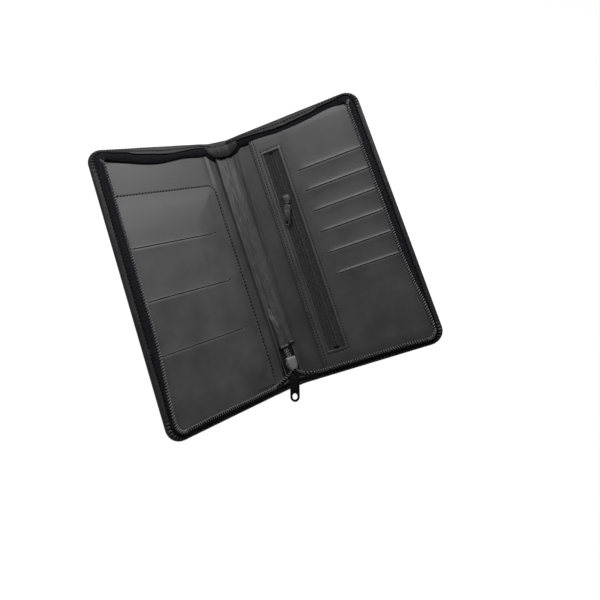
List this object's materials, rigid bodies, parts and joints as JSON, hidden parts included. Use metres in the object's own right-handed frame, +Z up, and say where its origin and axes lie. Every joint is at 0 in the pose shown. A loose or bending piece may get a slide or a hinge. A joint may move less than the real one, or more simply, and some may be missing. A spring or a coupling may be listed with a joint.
{
  "type": "passport holder",
  "caption": "Zip-around travel document holder, open: soft leather-look covers on a folding spine, slit pockets in one cover, card slots and a zip pocket in the other",
  "frame": {"origin": "the middle of the front cover's outer face, which lies on the table", "axes": "+Z up out of the table, +Y along the spine towards the top edge of the pages, +X from the front cover's free edge towards the spine and the raised back cover"},
  "size_m": [0.2065, 0.2412, 0.1197],
  "materials": {
    "cover_leather": "black artificial leather with a fine grain, low sheen",
    "lining_leather": "thin black artificial leather, smooth, soft sheen",
    "pocket_leather": "thin black artificial leather, smooth, cut edges",
    "board_card": "grey stiffening board, hidden between skin and lining",
    "zip_tape": "black woven polyester tape",
    "zip_coil": "black nylon coil",
    "slider_metal": "plated cast zip slider, satin",
    "pull_metal": "black enamelled cast pull"
  },
  "bodies": {
    "front_cover": {"front_cover_shell": "cover_leather", "front_cover_board": "board_card", "front_lining": "lining_leather", "front_pocket_panel": "pocket_leather", "front_pocket_liner_1": "lining_leather", "front_pocket_liner_2": "lining_leather", "front_pocket_liner_3": "lining_leather", "front_zip_tape": "zip_tape", "front_zip_coil": "zip_coil"},
    "spine": {"spine_shell": "cover_leather", "spine_lining": "lining_leather", "spine_top_gusset": "cover_leather", "spine_bottom_gusset": "cover_leather", "zip_tail_tape": "zip_tape", "zip_tail_chain": "zip_coil", "zip_tail_tab": "lining_leather", "zip_tail_binding": "lining_leather", "zip_branch_front": "zip_coil", "zip_branch_back": "zip_coil"},
    "back_cover": {"back_cover_shell": "cover_leather", "back_cover_board": "board_card", "back_lining": "lining_leather", "zip_pocket_panel": "pocket_leather", "inner_zip_tape_left": "zip_tape", "inner_zip_tape_right": "zip_tape", "inner_zip_coil_left": "zip_coil", "inner_zip_coil_right": "zip_coil", "inner_zip_top_stop": "slider_metal", "inner_zip_bottom_stop": "slider_metal", "card_slot_tier_1": "pocket_leather", "card_slot_tier_2": "pocket_leather", "card_slot_tier_3": "pocket_leather", "card_slot_tier_4": "pocket_leather", "card_slot_tier_5": "pocket_leather", "card_slot_tier_6": "pocket_leather", "back_zip_tape": "zip_tape", "back_zip_coil": "zip_coil"},
    "main_slider": {"main_slider_body": "slider_metal"},
    "main_pull": {"main_puller": "pull_metal"},
    "inner_slider": {"inner_slider_body": "slider_metal"},
    "inner_pull": {"inner_puller": "pull_metal"}
  },
  "joints": [
    {"name": "spine_fold", "type": "hinge", "parent": "front_cover", "child": "spine", "pos_m": [0.063, 0, 0.0006], "axis": [0, -1, 0], "range_deg": [-24, 66]},
    {"name": "cover_fold", "type": "hinge", "parent": "spine", "child": "back_cover", "pos_m": [0.08127, 0, 0.00873], "axis": [0, -1, 0], "range_deg": [-36, 51]},
    {"name": "main_slider_travel", "type": "slide", "parent": "spine", "child": "main_slider", "axis": [0, 1, 0], "range_m": [0, 0.007]},
    {"name": "main_pull_swing", "type": "hinge", "parent": "main_slider", "child": "main_pull", "pos_m": [0.07062, -0.1005, 0.01201], "axis": [-0.8622, 0.3305, -0.3839], "range_deg": [-5, 90]},
    {"name": "inner_slider_travel", "type": "slide", "parent": "back_cover", "child": "inner_slider", "axis": [0, 1, 0], "range_m": [-0.118, 0.038]},
    {"name": "inner_pull_swing", "type": "hinge", "parent": "inner_slider", "child": "inner_pull", "pos_m": [0.09308, 0.0389, 0.04579], "axis": [-0.4719, 0.3305, -0.8174], "range_deg": [-4, 176]}
  ]
}
